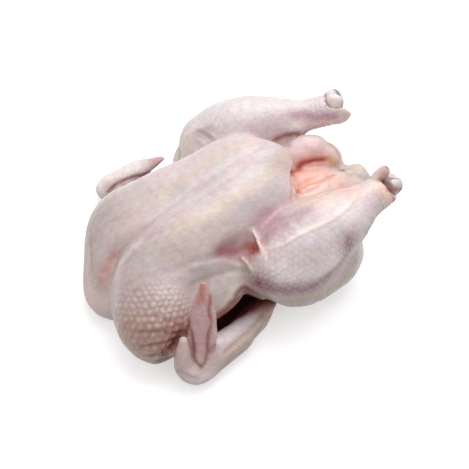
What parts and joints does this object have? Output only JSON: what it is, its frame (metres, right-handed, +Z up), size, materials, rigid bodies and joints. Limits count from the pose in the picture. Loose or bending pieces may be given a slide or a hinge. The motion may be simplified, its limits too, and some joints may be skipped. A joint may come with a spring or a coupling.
{
  "type": "whole raw chicken",
  "caption": "Whole plucked raw chicken lying on its back, wings folded beside it and drumsticks raised.",
  "frame": {"origin": "bottom centre of the bird's bounding box, on the surface it lies on", "axes": "+X towards the tail and the hocks, +Y towards the bird's left side, +Z up from its back to its breast"},
  "size_m": [0.2424, 0.2278, 0.1019],
  "materials": {
    "skin": "moist, softly glossy",
    "cartilage": "wet"
  },
  "bodies": {
    "root": {"carcass": "skin", "leg_bone_right": "cartilage", "leg_bone_left": "cartilage"}
  },
  "joints": []
}
